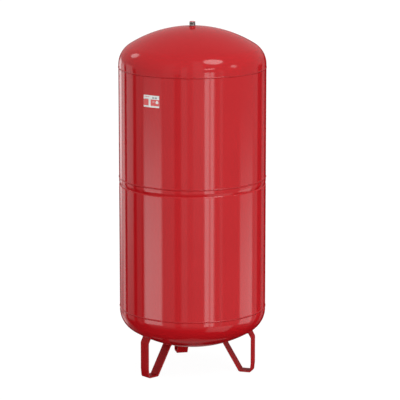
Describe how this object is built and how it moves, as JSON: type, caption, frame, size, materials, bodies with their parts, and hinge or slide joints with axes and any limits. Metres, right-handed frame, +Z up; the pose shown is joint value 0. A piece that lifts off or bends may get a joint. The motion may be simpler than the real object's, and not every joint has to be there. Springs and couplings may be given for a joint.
{
  "type": "expansion vessel",
  "caption": "Floor-standing diaphragm expansion vessel: tall red steel shell with dished ends, threaded water nipple on top, bent-bar legs and a gas valve below.",
  "frame": {"origin": "on the floor, on the vessel's axis", "axes": "+Z up along the shell's axis to the water nipple, -Y towards the front"},
  "size_m": [0.7934, 0.7934, 1.8995],
  "materials": {
    "red_paint": "gloss red stoved enamel on steel",
    "painted_weld": "gloss red paint over a weld bead",
    "leg_paint": "satin red paint on flat bar",
    "bare_steel": "rolled mill finish",
    "nipple_steel": "turned, dull zinc",
    "diaphragm_rubber": "moulded, matt, talc dusted",
    "seal_rubber": "moulded, matt",
    "valve_brass": "turned",
    "spring_steel": "drawn wire",
    "plug_plastic": "moulded red polyethylene",
    "cap_plastic": "moulded black nylon, ribbed",
    "label_film": "printed self-adhesive film"
  },
  "bodies": {
    "root": {"top_head": "red_paint", "upper_course": "red_paint", "lower_course": "red_paint", "bottom_head": "red_paint", "top_girth_weld": "painted_weld", "middle_girth_weld": "painted_weld", "bottom_girth_weld": "painted_weld", "upper_course_seam_weld": "painted_weld", "lower_course_seam_weld": "painted_weld", "diaphragm_clamp_ring": "bare_steel", "water_nipple": "nipple_steel", "nipple_weld": "painted_weld", "gas_valve_socket": "red_paint", "gas_valve_socket_weld": "painted_weld", "gas_valve_gasket": "seal_rubber", "gas_valve_body": "valve_brass", "valve_core_barrel": "valve_brass", "valve_core_seal": "seal_rubber", "valve_spring": "spring_steel", "front_left_leg": "leg_paint", "right_leg": "leg_paint", "rear_leg": "leg_paint", "front_left_leg_welds": "painted_weld", "right_leg_welds": "painted_weld", "rear_leg_welds": "painted_weld", "rating_label": "label_film"},
    "diaphragm": {"diaphragm": "diaphragm_rubber"},
    "nipple_plug": {"nipple_plug": "plug_plastic"},
    "valve_cap": {"valve_cap": "cap_plastic", "valve_cap_seal": "seal_rubber"},
    "valve_pin": {"valve_pin": "valve_brass", "valve_pin_seal": "seal_rubber"}
  },
  "joints": [
    {"name": "diaphragm_travel", "type": "slide", "parent": "root", "child": "diaphragm", "axis": [0, 0, -1], "range_m": [0, 0.78], "stiffness_N_per_m": 400, "springref_m": -0.35, "deforming": ["diaphragm"]},
    {"name": "nipple_plug_pull", "type": "slide", "parent": "root", "child": "nipple_plug", "axis": [0, 0, 1], "range_m": [0, 0.05]},
    {"name": "valve_cap_unscrew", "type": "slide", "parent": "root", "child": "valve_cap", "axis": [0, 0, -1], "range_m": [0, 0.03]},
    {"name": "valve_pin_press", "type": "slide", "parent": "root", "child": "valve_pin", "axis": [0, 0, 1], "range_m": [0, 0.0015], "stiffness_N_per_m": 800, "springref_m": -0.002, "deforming": ["valve_spring"]}
  ]
}
